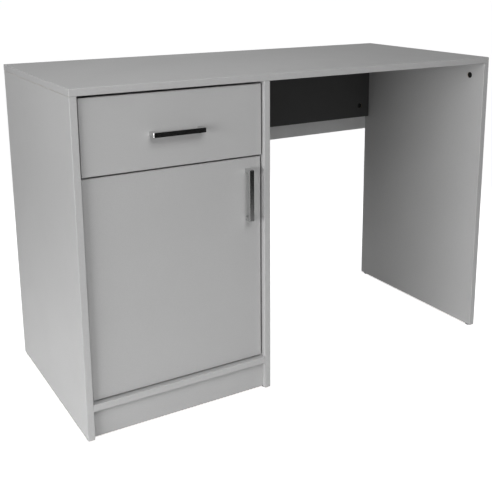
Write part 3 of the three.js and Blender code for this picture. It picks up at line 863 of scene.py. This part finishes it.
board("desk_top_board", "top_panel", "carcass", "z")
board("left_upright_board", "left_side_panel", "carcass", "x", [
    sunk_bore("cam_lock_left_front", "x", left_high.x, -1),
    sunk_bore("cam_lock_left_rear", "x", left_high.x, -1),
    *pin_holes(left_high.x)], raw_edges=("-z", "+z"))
board("divider_upright_board", "divider_panel", "carcass", "x", [
    sunk_bore("cam_lock_divider_front", "x", divider_low.x, 1),
    sunk_bore("cam_lock_divider_rear", "x", divider_low.x, 1),
    *pin_holes(divider_low.x)], raw_edges=("-z", "+z"))
right_low, right_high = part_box("right_side_panel")
board("right_upright_board", "right_side_panel", "carcass", "x", [
    sunk_bore("cam_lock_right_front", "x", right_low.x, 1),
    sunk_bore("cam_lock_right_rear", "x", right_low.x, 1)], raw_edges=("-z", "+z"))
bottom_low, bottom_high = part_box("bottom_panel")
board("cabinet_bottom_board", "bottom_panel", "carcass", "z", [
    sunk_bore(f"cam_lock_bottom_{end}_{side}", "z", bottom_low.z, 1)
    for end in ("front", "rear") for side in ("left", "right")])
board("plinth_front_board", "plinth_board", "carcass", "y", raw_edges=("-z",))
rail_low, rail_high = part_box("knee_rail")
# Knee rail: its near-black boards carry painted shade from under the top as well as their own colour
board("knee_rail_board", "knee_rail", "carcass", "y", [
    sunk_bore(f"cam_lock_rail_{side}_{level}", "y", rail_low.y, 1)
    for side in ("left", "right") for level in ("lower", "upper")],
    materials=(rail_face_with_painted_shade, rail_band_with_painted_shade, raw_core), slot="dark_board")
board("loose_shelf_board", "shelf", "carcass", "z")

# Back sheets, painted on the inside and raw on the outside
for piece_name, node in (("cabinet_back", "cabinet_back_sheet"), ("knee_back", "knee_back_sheet")):
    low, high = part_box(node)
    high.y = low.y + SHEET_THICK
    finish(piece_name, slab(low, high, "y", arris=0.3 * MM, corner=0.6 * MM, glue_line=False), "carcass",
           (sheet_face, sheet_back), (node,), lambda centre, normal: 1 if normal.y > 0.2 else 0)

cabinet_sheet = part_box("cabinet_back_sheet")
knee_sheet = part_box("knee_back_sheet")
nail_y = cabinet_sheet[0].y + SHEET_THICK - 0.02 * MM
upright_middle = (left_low.x + left_high.x) / 2
right_middle = (right_low.x + right_high.x) / 2
nail_margin = 22 * MM
nail_z = (cabinet_sheet[0].z + nail_margin, cabinet_sheet[1].z - nail_margin)
knee_z = (knee_sheet[0].z + 14 * MM, knee_sheet[1].z - nail_margin)
seam_offset = 4 * MM
bottom_z = (bottom_low.z + bottom_high.z) / 2
upright_wander = (0.9 * MM, 0.0, 4 * MM)
level_wander = (4 * MM, 0.0, 0.9 * MM)
nail_rows = [
    nail_row((x, nail_y, z[0]), (x, nail_y, z[1]), "+y", upright_wander)
    for x, z in ((upright_middle, nail_z), (cabinet_sheet[1].x - seam_offset, nail_z),
                 (knee_sheet[0].x + seam_offset, knee_z), (right_middle, knee_z))]
nail_rows += [
    nail_row((x0, nail_y, z), (x1, nail_y, z), "+y", level_wander)
    for x0, x1, z in (
        (left_high.x + 40 * MM, divider_low.x - 40 * MM, bottom_z),
        (divider_high.x + 45 * MM, right_low.x - 45 * MM, rail_low.z + 12 * MM),
        (divider_high.x + 45 * MM, right_low.x - 45 * MM, rail_high.z - 18 * MM))]
hardware("back_sheet_nails", "carcass", nail_rows)


# ---------------------------------------------------------------- drawer and door fronts, bar handles

def handle(front, along):
    """A bar handle: one bent bar with two legs, all its edges softened, its legs tapped for the screws."""
    node = f"{front}_handle"
    low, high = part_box(node)
    k = AXES[along]
    reach = high.y - low.y
    bar, leg = HANDLE_BAR, HANDLE_LEG
    a, b = low[k], high[k]
    outline = [(a, 0), (a + leg, 0), (a + leg, reach - bar), (b - leg, reach - bar), (b - leg, 0), (b, 0),
               (b, reach), (a, reach)]
    soft = HANDLE_ARRIS
    radii = [0, 0, HANDLE_INNER_BEND, HANDLE_INNER_BEND, 0, 0, HANDLE_OUTER_BEND, HANDLE_OUTER_BEND]
    outline = [(u, high.y - v) for u, v in filleted(outline, radii)]
    across = "z" if along == "x" else "x"
    start, end = low[AXES[across]], high[AXES[across]]
    if along == "x":
        mesh = drawn_out(outline, "z", start, end, soft)
    else:
        mesh = drawn_out([(y, z) for z, y in outline], "x", start, end, soft)
    middle = (low + high) / 2
    taps = []
    for place_along in (a + leg / 2, b - leg / 2):
        centre = middle.copy()
        centre[k] = place_along
        taps.append(rod("y", centre, TAP_RADIUS, high.y - TAP_DEPTH, high.y + OVERSHOOT, 16))
    mesh = cut(mesh, joined("taps", taps))
    return finish(f"{front}_bar_handle", mesh, front, (handle_finish[along],), (node,))


def screw_bores(front, ends):
    """Clearance bores for a front's handle screws."""
    made = []
    low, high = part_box("drawer_front" if front == "drawer" else "door_panel")
    for end in ends:
        screw_low, screw_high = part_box(f"{front}_handle_screw_{end}")
        made.append(rod("y", (screw_low + screw_high) / 2, TAP_RADIUS, low.y - OVERSHOOT,
                        high.y + OVERSHOOT, 16))
    return made


front_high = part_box("drawer_front")[1]
sheet_low, sheet_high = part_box("drawer_bottom")
bottom_groove = block((sheet_low.x - 0.3 * MM, front_high.y - GROOVE, sheet_low.z - GROOVE_SLACK),
                      (sheet_high.x + 0.3 * MM, front_high.y + OVERSHOOT, sheet_high.z + GROOVE_SLACK))
board("drawer_front_board", "drawer_front", "drawer", "y",
      [*screw_bores("drawer", ("left", "right")), bottom_groove])

door_low, door_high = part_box("door_panel")
pivot_centre = Vector((door_low.x + PIVOT_INSET, (door_low.y + door_high.y) / 2, 0))
pivot_bores = [
    rod("z", pivot_centre, PIVOT_RADIUS + PIVOT_BORE_SLACK, door_low.z - OVERSHOOT, door_low.z + PIVOT_BITE),
    rod("z", pivot_centre, PIVOT_RADIUS + PIVOT_BORE_SLACK, door_high.z - PIVOT_BITE, door_high.z + OVERSHOOT)]
strike_low, strike_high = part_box("strike_plate")
board("door_board", "door_panel", "door", "y", [*screw_bores("door", ("bottom", "top")), *pivot_bores])
handle("drawer", "x")
handle("door", "z")

for front, ends in (("drawer", ("left", "right")), ("door", ("bottom", "top"))):
    for end in ends:
        low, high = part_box(f"{front}_handle_screw_{end}")
        under_head = high.y - MACHINE_HEAD_HEIGHT
        at = ((low.x + high.x) / 2, under_head, (low.z + high.z) / 2)
        mesh = screw_row(at, at, 1, "+y", head=MACHINE_HEAD, height=MACHINE_HEAD_HEIGHT, shaft=MACHINE_SHAFT,
                         length=under_head - low.y)
        piece = hardware(f"{front}_machine_screw_{end}", front, [mesh])
        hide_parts(f"{front}_handle_screw_{end}")


# ---------------------------------------------------------------- drawer box

foil_board = (box_foil, box_foil, raw_core)
side_boxes = {side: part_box(f"drawer_side_{side}") for side in ("left", "right")}
back_low, back_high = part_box("drawer_back")
groove_z = (sheet_low.z - GROOVE_SLACK, sheet_high.z + GROOVE_SLACK)
for side, (low, high) in side_boxes.items():
    if side == "left":
        groove = block((high.x - GROOVE, low.y - OVERSHOOT, groove_z[0]),
                       (high.x + OVERSHOOT, high.y + OVERSHOOT, groove_z[1]))
    else:
        groove = block((low.x - OVERSHOOT, low.y - OVERSHOOT, groove_z[0]),
                       (low.x + GROOVE, high.y + OVERSHOOT, groove_z[1]))
    board(f"drawer_box_side_{side}", f"drawer_side_{side}", "drawer", "x", [groove], foil_board,
          "drawer_board", arris=FOIL_ARRIS, glue_line=False)
back_groove = block((back_low.x - OVERSHOOT, back_low.y - OVERSHOOT, groove_z[0]),
                    (back_high.x + OVERSHOOT, back_low.y + GROOVE, groove_z[1]))
board("drawer_box_back", "drawer_back", "drawer", "y", [back_groove], foil_board, "drawer_board",
      arris=FOIL_ARRIS, glue_line=False)
bottom_sheet = slab(sheet_low, sheet_high, "z", arris=0.25 * MM, corner=0.5 * MM, glue_line=False)
finish("drawer_box_bottom", bottom_sheet, "drawer", (sheet_face, sheet_back),
       ("drawer_bottom",),
       lambda centre, normal: 1 if normal.z < -0.2 else 0)

corner_y = (back_low.y + back_high.y) / 2
corner_z = (back_low.z + 40 * MM, back_high.z - 15 * MM)
hardware("drawer_corner_screws", "drawer", [
    screw_row((x, corner_y, corner_z[0]), (x, corner_y, corner_z[1]), 2, facing)
    for x, facing in ((side_boxes["left"][0].x, "-x"), (side_boxes["right"][1].x, "+x"))])


# ---------------------------------------------------------------- runners and rollers

def side_x(side, inward):
    """The place this far in from the face of the cabinet's side board, on either side."""
    return left_high.x + inward if side == "left" else divider_low.x - inward


def bent_steel(side, points, radii, start, end):
    """A folded steel strip from front to back. The points are (distance in from the side board, height)."""
    outline = [(side_x(side, inward), height) for inward, height in filleted(points, radii)]
    return drawn_out(outline, "y", start, end, STEEL_ARRIS)


def axle(side, y, z, head, tip):
    """A riveted axle along X with its rolled head, both given as distances in from the side board."""
    outward = 1 if head > tip else -1
    flat = head + outward * RIVET_THICK
    profile = [(side_x(side, place), radius) for place, radius in (
        (tip, 0), (tip, AXLE_RADIUS), (head, AXLE_RADIUS), (head, RIVET_RADIUS),
        (flat - outward * 0.2 * MM, RIVET_RADIUS), (flat, RIVET_RADIUS - 0.5 * MM), (flat, 0))]
    return turned("x", Vector((0, y, z)), profile, 20)


OUTER_BEND, INNER_BEND, TIP = 1.9 * MM, 0.5 * MM, 0.3 * MM
for side in ("left", "right"):
    into = "+x" if side == "left" else "-x"
    low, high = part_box(f"cabinet_runner_{side}")
    bottom, top = low.z, high.z
    channel = bent_steel(side, [
        (0, bottom), (RUNNER_FLANGE, bottom), (RUNNER_FLANGE, bottom + STEEL), (STEEL, bottom + STEEL),
        (STEEL, top - STEEL), (RUNNER_FLANGE, top - STEEL), (RUNNER_FLANGE, top), (0, top)],
        [OUTER_BEND, TIP, TIP, INNER_BEND, INNER_BEND, TIP, TIP, OUTER_BEND], low.y, high.y)
    hole_z = (bottom + top) / 2
    x = side_x(side, STEEL / 2)
    holes = bores.mesh(Count=9, Start=(x, low.y + 36 * MM, hole_z), End=(x, high.y - 36 * MM, hole_z),
                       Turn=FACING["+x"], Seed=SEED, Material=runner_coat, Radius=2.2 * MM, Depth=4 * MM)
    front_low_box, front_high_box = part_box(f"roller_front_{side}")
    middle = (front_low_box + front_high_box) / 2
    fixed_axle = axle(side, middle.y, middle.z, ROLLER_FAR, AXLE_SEAT)
    finish(f"cabinet_runner_rail_{side}", joined("runner", [cut(channel, holes), fixed_axle]), "carcass",
           (runner_coat,), (f"cabinet_runner_{side}",))
    x = side_x(side, STEEL)
    screw_z = top - 6 * MM
    hardware(f"cabinet_runner_screws_{side}", "carcass", [
        screw_row((x, low.y + 50 * MM, screw_z), (x, high.y - 50 * MM, screw_z), 3, into,
                  head=3 * MM, height=1.2 * MM, length=6 * MM)])

    low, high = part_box(f"drawer_runner_{side}")
    bottom, top = low.z, high.z
    rear_low_box, rear_high_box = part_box(f"roller_rear_{side}")
    middle = (rear_low_box + rear_high_box) / 2
    angle = bent_steel(side, [
        (WEB, bottom), (WEB + LEDGE, bottom), (WEB + LEDGE, bottom + STEEL), (WEB + STEEL, bottom + STEEL),
        (WEB + STEEL, top), (ROLLER_NEAR, top), (ROLLER_NEAR, top - STEEL), (WEB, top - STEEL)],
        [OUTER_BEND, TIP, TIP, INNER_BEND, OUTER_BEND, TIP, TIP, INNER_BEND], low.y, high.y)
    moving_axle = axle(side, middle.y, middle.z, ROLLER_NEAR - RIVET_CLEARANCE, WEB + AXLE_SEAT)
    finish(f"drawer_runner_rail_{side}", joined("runner", [angle, moving_axle]), "drawer",
           (runner_coat,), (f"drawer_runner_{side}",))
    x = side_x(side, WEB + 7.5 * MM)
    hardware(f"drawer_runner_screws_{side}", "drawer", [
        screw_row((x, low.y + 36 * MM, bottom), (x, high.y - 36 * MM, bottom), 3, "-z")])

    for end in ("front", "rear"):
        low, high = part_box(f"roller_{end}_{side}")
        centre = (low + high) / 2
        a, b, radius = low.x, high.x, (high.z - low.z) / 2
        bore = AXLE_RADIUS + ROLLER_BORE_SLACK
        profile = [
            (a, bore), (a, HUB_RADIUS), (a + DISH_DEPTH, HUB_FOOT), (a + DISH_DEPTH, DISH_RADIUS),
            (a + RIM_SET_BACK, RIM_RADIUS), (a + RIM_SET_BACK, radius - TREAD_SOFT), (a + DISH_DEPTH, radius),
            (b - DISH_DEPTH, radius), (b - RIM_SET_BACK, radius - TREAD_SOFT), (b - RIM_SET_BACK, RIM_RADIUS),
            (b - DISH_DEPTH, DISH_RADIUS), (b - DISH_DEPTH, HUB_FOOT), (b, HUB_RADIUS), (b, bore)]
        finish(f"nylon_roller_{end}_{side}", turned("x", centre, profile, 40), f"roller_{end}_{side}",
               (nylon,), (f"roller_{end}_{side}",))


# ---------------------------------------------------------------- door pivots, catch and strike plate

def pivot_bracket(level):
    """A folded plate with the pin the door turns on: under the door it has a collar that carries the door."""
    node = f"pivot_bracket_{level}"
    low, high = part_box(node)
    up = 1 if level == "bottom" else -1
    base, end = (low.z, high.z) if up > 0 else (high.z, low.z)
    plate = base + up * STEEL
    leg = low.x + STEEL
    points = [(low.x, base), (high.x, base), (high.x, plate), (leg, plate), (leg, end), (low.x, end)]
    folded = drawn_out(filleted(points, [OUTER_BEND, TIP, TIP, INNER_BEND, TIP, TIP]), "y", low.y, high.y,
                       STEEL_ARRIS)
    near, far = sorted((plate, end + up * OVERSHOOT))
    clear = block((low.x - OVERSHOOT, low.y - OVERSHOOT, near),
                  (leg + OVERSHOOT, low.y + PIVOT_LEG_START, far))
    tip = door_low.z + PIVOT_TIP_DEPTH if up > 0 else door_high.z - PIVOT_TIP_DEPTH
    profile = [(base + up * PIVOT_SEAT, 0)]
    if up > 0:
        collar = base + COLLAR_HEIGHT
        profile += [(base + PIVOT_SEAT, COLLAR_RADIUS), (collar - COLLAR_SOFT, COLLAR_RADIUS),
                    (collar, COLLAR_RADIUS - COLLAR_SOFT), (collar, PIVOT_RADIUS)]
    else:
        profile += [(base + up * PIVOT_SEAT, PIVOT_RADIUS)]
    profile += [(tip - up * PIVOT_TIP_SOFT, PIVOT_RADIUS), (tip, PIVOT_RADIUS - PIVOT_TIP_SOFT), (tip, 0)]
    pin = turned("z", pivot_centre, profile)
    finish(f"door_pivot_{level}", joined("pivot", [cut(folded, clear), pin]), "carcass",
           (zinc,), (node,))
    leg_z = base + up * 16 * MM
    rows = [screw_row((leg, high.y - 20 * MM, leg_z), (leg, high.y - 6 * MM, leg_z), 2, "+x")]
    if up > 0:
        x = low.x + 12 * MM
        rows.append(screw_row((x, high.y - 18 * MM, plate), (x, high.y - 6 * MM, plate), 2, "+z"))
    hardware(f"door_pivot_screws_{level}", "carcass", rows)


pivot_bracket("bottom")
pivot_bracket("top")

low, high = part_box("magnet_catch")
middle_z = (low.z + high.z) / 2
case = slab(low + Vector((0, 0.6 * MM, 0)), high, "x", arris=1.2 * MM, corner=2.0 * MM, glue_line=False)
mouth = block((low.x + MOUTH_WALL, low.y - OVERSHOOT, middle_z - MOUTH_HALF),
              (high.x - MOUTH_WALL, low.y + POLE_DEPTH, middle_z + MOUTH_HALF))
ribs = [block((low.x - OVERSHOOT, low.y + step * MM, low.z + 2.5 * MM),
              (low.x + RIB_DEPTH, low.y + (step + 1.2) * MM, high.z - 2.5 * MM)) for step in (14, 18, 22)]
finish("magnet_catch_case", cut(cut(case, mouth), joined("ribs", ribs)), "carcass",
       (black_plastic,), ("magnet_catch",))
poles = [block((low.x + 2.6 * MM, low.y, middle_z + z * MM),
               (high.x - 2.6 * MM, low.y + POLE_DEPTH, middle_z + z * MM + POLE_THICK)) for z in (-3.6, 2.4)]
finish("magnet_catch_poles", joined("poles", poles), "carcass", (zinc,))
magnet = block((low.x + 3 * MM, low.y + 0.5 * MM, middle_z - 2.3 * MM),
               (high.x - 3 * MM, low.y + POLE_DEPTH, middle_z + 2.3 * MM))
finish("magnet_catch_magnet", magnet, "carcass", (dark_metal_with_painted_bore_shade,))

strike_middle = (strike_low + strike_high) / 2
strike_radius = (strike_high.z - strike_low.z) / 2
face, rear = strike_low.y, strike_high.y
disc = turned("y", strike_middle, [
    (face, 0), (face, strike_radius), (rear - 0.25 * MM, strike_radius), (rear, strike_radius - 0.25 * MM),
    (rear, 2.6 * MM), (rear - 0.6 * MM, 2.0 * MM), (rear - 0.6 * MM, 0)], 36)
finish("door_strike_plate", disc, "door", (zinc,), ("strike_plate",))
at = (strike_middle.x, rear - 0.62 * MM, strike_middle.z)
hardware("door_strike_screw", "door", [
    screw_row(at, at, 1, "+y", head=1.9 * MM, height=0.55 * MM, shaft=1.2 * MM, length=4 * MM)])


# ---------------------------------------------------------------- cam locks, shelf pins and glides

def cam_lock(node, axis, face, out):
    """A cast cam lock: a rim softened at its mouth, a cross recess for the driver and the arrow beside it. Its
    near-black finish is partly painted shade of the bore it sits in.
    """
    low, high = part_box(node)
    k = AXES[axis]
    centre = (low + high) / 2
    across = [j for j in range(3) if j != k]
    radius = (high[across[0]] - low[across[0]]) / 2
    mouth, inner = (high[k], low[k]) if out > 0 else (low[k], high[k])
    body = turned(axis, centre, [
        (mouth, 0), (mouth, radius - 0.7 * MM), (mouth - out * 0.25 * MM, radius - 0.2 * MM),
        (mouth - out * 0.8 * MM, radius), (inner, radius), (inner, 0)], 32)

    def recess(half_u, half_v, shift, depth):
        first = mouth + out * OVERSHOOT
        last = mouth - out * depth
        u, v = centre[across[0]] + shift, centre[across[1]]
        near, far = sorted((first, last))
        return block(turned_to(axis, u - half_u, v - half_v, near),
                     turned_to(axis, u + half_u, v + half_v, far))

    for tool in (recess(CAM_ARM, CAM_ARM_HALF_WIDTH, 0, CAM_SLOT_DEPTH),
                 recess(CAM_ARM_HALF_WIDTH, CAM_ARM, 0, CAM_SLOT_DEPTH),
                 recess(0.7 * MM, 0.5 * MM, 5.8 * MM, 0.5 * MM)):
        body = cut(body, tool)
    finish(f"{node}_casting", body, "carcass", (dark_metal_with_painted_bore_shade,), (node,))


ENDS = ("front", "rear")
for end in ENDS:
    cam_lock(f"cam_lock_left_{end}", "x", left_high.x, 1)
    cam_lock(f"cam_lock_divider_{end}", "x", divider_low.x, -1)
    cam_lock(f"cam_lock_right_{end}", "x", right_low.x, -1)
    for side in ("left", "right"):
        cam_lock(f"cam_lock_bottom_{end}_{side}", "z", bottom_low.z, -1)
for side in ("left", "right"):
    for level in ("lower", "upper"):
        cam_lock(f"cam_lock_rail_{side}_{level}", "y", rail_low.y, -1)

for end in ENDS:
    for side in ("left", "right"):
        node = f"shelf_pin_{end}_{side}"
        low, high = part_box(node)
        radius = (high.z - low.z) / 2
        middle = (low + high) / 2
        soft, groove = PIN_SOFT, PIN_GROOVE
        profile = [(low.x, 0), (low.x, radius - soft), (low.x + soft, radius),
                   (middle.x - 2 * groove, radius), (middle.x - groove, radius - groove / 2),
                   (middle.x + groove, radius - groove / 2), (middle.x + 2 * groove, radius),
                   (high.x - soft, radius), (high.x, radius - soft), (high.x, 0)]
        finish(f"{node}_steel", turned("x", middle, profile), "carcass", (zinc,), (node,))

for panel in ("left", "divider", "right"):
    for end in ENDS:
        node = f"glide_{panel}_{end}"
        low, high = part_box(node)
        radius = (high.x - low.x) / 2
        profile = [(low.z + GLIDE_DIP, 0), (low.z + GLIDE_DIP, 2.0 * MM), (low.z, 2.5 * MM),
                   (low.z, radius - 1.4 * MM), (low.z + 0.3 * MM, radius - 0.6 * MM),
                   (low.z + 1.1 * MM, radius), (high.z, radius), (high.z, 0)]
        finish(f"{node}_cap", turned("z", (low + high) / 2, profile, 36), "carcass",
               (black_plastic,), (node,))


# ---------------------------------------------------------------- scene

def area_light(name, at, target, size, power):
    data = bpy.data.lights.new(name, "AREA")
    data.shape = "RECTANGLE"
    data.size, data.size_y = size
    data.energy = power
    lamp = bpy.data.objects.new(name, data)
    bpy.context.scene.collection.objects.link(lamp)
    lamp.location = at
    lamp.rotation_euler = (Vector(target) - Vector(at)).to_track_quat("-Z", "Y").to_euler()


floor_mesh = bpy.data.meshes.new("studio_floor")
reach = 30.0  # metres
floor_mesh.from_pydata([(-reach, -reach, 0), (reach, -reach, 0), (reach, reach, 0), (-reach, reach, 0)], [],
                       [(0, 1, 2, 3)])
floor = link("studio_floor", floor_mesh)
floor_mesh.materials.append(studio_floor("studio_floor"))
floor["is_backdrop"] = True

world = bpy.data.worlds.new("studio")
world.use_nodes = True
backdrop = world.node_tree.nodes["Background"]
backdrop.inputs["Color"].default_value = (1, 1, 1, 1)
seen = add(world.node_tree, "ShaderNodeLightPath").outputs["Is Camera Ray"]
world.node_tree.links.new(remap(world.node_tree, seen, AMBIENT, 1.0, 0.0, 1.0), backdrop.inputs["Strength"])
bpy.context.scene.world = world

AIM = (-0.1, 0, 0.4)
area_light("front_light", (-0.5, -2.5, 2.8), AIM, (1.8, 1.8), 47)
area_light("left_light", (-3.0, -1.2, 0.68), AIM, (1.8, 1.2), 61)
area_light("overhead_light", (-1.5, 0, 2.6), AIM, (1.8, 1.8), 17)
area_light("low_light", (-1.5, -2.9, 0.95), AIM, (1.8, 1.8), 10)
area_light("right_fill", (3.4, -0.2, 1.2), AIM, (2.2, 2.2), 36)
area_light("back_fill", (0.9, 2.6, 3.4), AIM, (2.2, 2.2), 30)

camera_data = bpy.data.cameras.new("view")
camera_data.sensor_width = 36
camera_data.lens = 59.4
camera_data.shift_x = -0.06
camera_data.shift_y = -0.18
camera = bpy.data.objects.new("view", camera_data)
bpy.context.scene.collection.objects.link(camera)
camera.location = (-1.0133, -1.7245, 0.9559)
camera.rotation_euler = Euler((math.radians(77.05), 0, math.radians(-31.72)), "XYZ")
bpy.context.scene.camera = camera
bpy.context.scene.view_settings.view_transform = "Standard"
bpy.context.scene.view_settings.gamma = 0.85

low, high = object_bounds()
